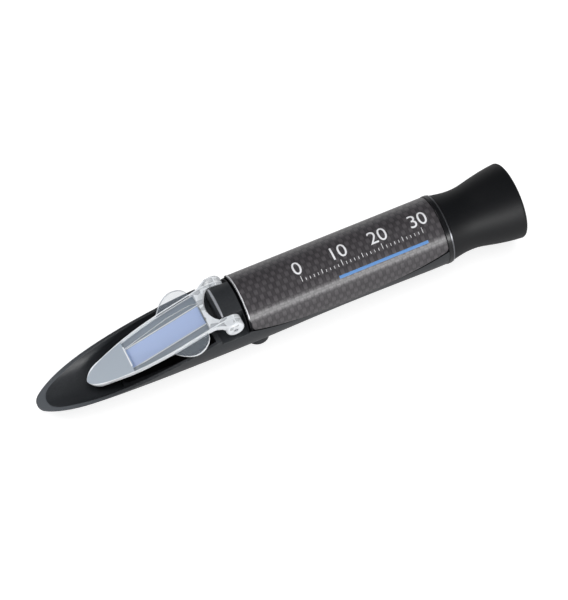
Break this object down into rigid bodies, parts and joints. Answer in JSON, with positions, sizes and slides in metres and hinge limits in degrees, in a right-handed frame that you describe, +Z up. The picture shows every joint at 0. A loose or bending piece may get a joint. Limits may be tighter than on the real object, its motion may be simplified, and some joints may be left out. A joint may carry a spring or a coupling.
{
  "type": "handheld refractometer",
  "caption": "Handheld refractometer: round barrel with a slanted prism head under a hinged clear daylight plate, and a focusing eyepiece with a rubber eyecup.",
  "frame": {"origin": "under the middle of the instrument's length, on the surface it rests on, in its plane of symmetry", "axes": "+X along the barrel from the nib to the eyecup, +Z up through the prism face, +Y across"},
  "size_m": [0.207, 0.032, 0.0332],
  "materials": {
    "black_housing": "satin black enamel on cast aluminium",
    "black_plastic": "moulded satin",
    "weave_panel": "printed weave under clear lacquer",
    "bright_trim": "polished",
    "steel": "turned",
    "optical_glass": "polished",
    "blackened_metal": "matt black anodised",
    "black_rubber": "moulded",
    "gloss_black": "gloss black",
    "clear_acrylic": "clear moulded acrylic",
    "brass": "turned",
    "eyecup_rubber": "satin moulded rubber"
  },
  "bodies": {
    "housing": {"body_housing": "black_housing", "adjuster_foot": "black_plastic", "grip_panel": "weave_panel", "panel_trim": "bright_trim", "hinge_pin": "steel", "measuring_prism": "optical_glass", "prism_holder": "blackened_metal", "prism_seal": "black_rubber", "front_baffle": "blackened_metal", "rear_baffle": "blackened_metal", "reticle_cell": "blackened_metal", "reticle_glass": "optical_glass", "reticle_ring": "blackened_metal", "eyepiece_mount": "gloss_black", "rear_trim": "bright_trim", "focus_seal": "black_rubber", "screw_seal": "black_rubber"},
    "plate": {"daylight_plate": "clear_acrylic"},
    "carriage": {"objective_carriage": "brass", "strip_screw": "steel"},
    "objective": {"bimetal_strip": "steel", "objective_cell": "blackened_metal", "objective_lens": "optical_glass", "objective_ring": "blackened_metal"},
    "adjuster": {"adjusting_screw": "steel"},
    "focus_tube": {"lens_tube": "blackened_metal", "field_lens": "optical_glass", "lens_spacer": "blackened_metal", "eye_lens": "optical_glass", "lens_lock_ring": "blackened_metal"},
    "eyecup": {"eyecup": "eyecup_rubber", "focus_sleeve": "blackened_metal"}
  },
  "joints": [
    {"name": "plate_hinge", "type": "hinge", "parent": "housing", "child": "plate", "pos_m": [-0.023, 0, 0.02495], "axis": [0, 1, 0], "range_deg": [0, 106]},
    {"name": "adjuster_turn", "type": "hinge", "parent": "housing", "child": "adjuster", "pos_m": [-0.0111, 0, 0.001], "axis": [0, 0, 1], "range_deg": [-360, 360]},
    {"name": "carriage_shift", "type": "slide", "parent": "housing", "child": "carriage", "axis": [0, 0, 1], "range_m": [-0.0005, 0.0005]},
    {"name": "temperature_flex", "type": "hinge", "parent": "carriage", "child": "objective", "pos_m": [0.0101, 0, 0.0079], "axis": [0, 1, 0], "range_deg": [-1, 1], "stiffness_Nm_per_rad": 0.5},
    {"name": "focus_travel", "type": "slide", "parent": "housing", "child": "focus_tube", "axis": [1, 0, 0], "range_m": [0, 0.0015]},
    {"name": "eyecup_turn", "type": "hinge", "parent": "focus_tube", "child": "eyecup", "pos_m": [0.0795, 0, 0.0172], "axis": [1, 0, 0], "range_deg": [0, 360]}
  ],
  "couplings": [
    {"joint": "adjuster_turn", "follows": "carriage_shift", "rad_per_m": 12566},
    {"joint": "focus_travel", "follows": "eyecup_turn", "m_per_rad": 0.00023873}
  ]
}
